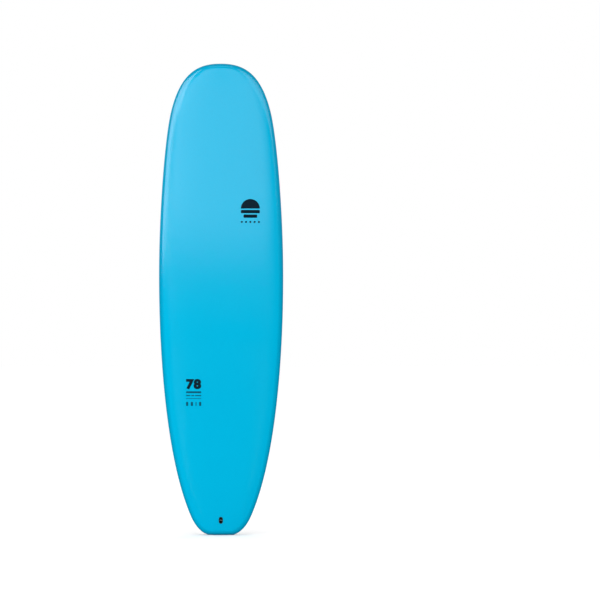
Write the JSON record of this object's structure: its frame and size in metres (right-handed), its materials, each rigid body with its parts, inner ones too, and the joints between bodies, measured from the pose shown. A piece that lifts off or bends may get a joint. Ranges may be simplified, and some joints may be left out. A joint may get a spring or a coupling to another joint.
{
  "type": "surfboard",
  "caption": "Soft-top surfboard with a foam deck skin, slick hard bottom, wood stringers, a leash plug near the tail and removable fins.",
  "frame": {"origin": "the middle of the flat end of the tail", "axes": "+Z from tail to nose, +Y out of the bottom side (the deck faces -Y), +X to the rider's right"},
  "size_m": [0.525, 0.2547, 1.981],
  "materials": {
    "deck_foam": "satin",
    "bottom_sheet": "satin",
    "backing_foam": "matte",
    "guard": "matte",
    "core_foam": "matte",
    "stringer_wood": "matte",
    "leash_cup": "satin",
    "steel": "satin",
    "fin_plug": "satin",
    "fin": "satin"
  },
  "bodies": {
    "board": {"deck_skin": "deck_foam", "bottom_slick": "bottom_sheet", "bottom_foam": "backing_foam", "nose_guard": "guard", "tail_guard": "guard", "core_left": "core_foam", "core_centre": "core_foam", "core_right": "core_foam", "stringer_left": "stringer_wood", "stringer_right": "stringer_wood", "leash_cup": "leash_cup", "leash_pin": "steel", "fin_plug_left_front": "fin_plug", "grub_screw_left_front": "steel", "fin_plug_left_rear": "fin_plug", "grub_screw_left_rear": "steel", "fin_plug_right_front": "fin_plug", "grub_screw_right_front": "steel", "fin_plug_right_rear": "fin_plug", "grub_screw_right_rear": "steel", "fin_plug_centre_front": "fin_plug", "grub_screw_centre_front": "steel", "fin_plug_centre_rear": "fin_plug", "grub_screw_centre_rear": "steel"},
    "fin_left": {"fin_left": "fin"},
    "fin_right": {"fin_right": "fin"},
    "fin_centre": {"fin_centre": "fin"}
  },
  "joints": [
    {"name": "fin_left_pull", "type": "slide", "parent": "board", "child": "fin_left", "axis": [-0.087, 0.9943, -0.0615], "range_m": [0, 0.03]},
    {"name": "fin_right_pull", "type": "slide", "parent": "board", "child": "fin_right", "axis": [0.087, 0.9943, -0.0615], "range_m": [0, 0.03]},
    {"name": "fin_centre_pull", "type": "slide", "parent": "board", "child": "fin_centre", "axis": [0, 0.9945, -0.1048], "range_m": [0, 0.03]}
  ]
}
